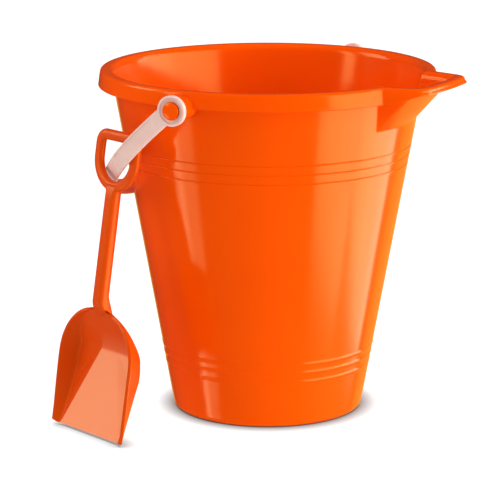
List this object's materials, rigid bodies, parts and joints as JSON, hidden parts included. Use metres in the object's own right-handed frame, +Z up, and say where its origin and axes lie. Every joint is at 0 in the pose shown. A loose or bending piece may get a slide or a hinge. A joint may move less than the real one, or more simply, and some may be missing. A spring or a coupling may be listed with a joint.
{
  "type": "sand bucket with bail and shovel",
  "caption": "Tapered toy sand bucket with a rolled rim, a pouring spout and a hinged strap bail, and a D-grip sand shovel threaded on the bail.",
  "frame": {"origin": "centre of the bucket's underside, on its axis, in the plane it stands on", "axes": "+Z up along the bucket's axis, +X towards the pouring spout, Y along the bail's pivot axis"},
  "size_m": [0.2139, 0.2369, 0.2],
  "materials": {
    "bucket_orange": "glossy",
    "bail_translucent": "satin",
    "shovel_orange": "glossy"
  },
  "bodies": {
    "bucket": {"bucket_body": "bucket_orange"},
    "bail": {"bail_handle": "bail_translucent"},
    "shovel": {"sand_shovel": "shovel_orange"}
  },
  "joints": [
    {"name": "bail_swing", "type": "hinge", "parent": "bucket", "child": "bail", "pos_m": [0, 0, 0.1912], "axis": [0, 1, 0], "range_deg": [0, 210]},
    {"name": "shovel_swing", "type": "hinge", "parent": "bail", "child": "shovel", "pos_m": [-0.04759, -0.08947, 0.15525], "axis": [-0.3479, -0.9231, 0.1635], "range_deg": [-45, 75]}
  ]
}
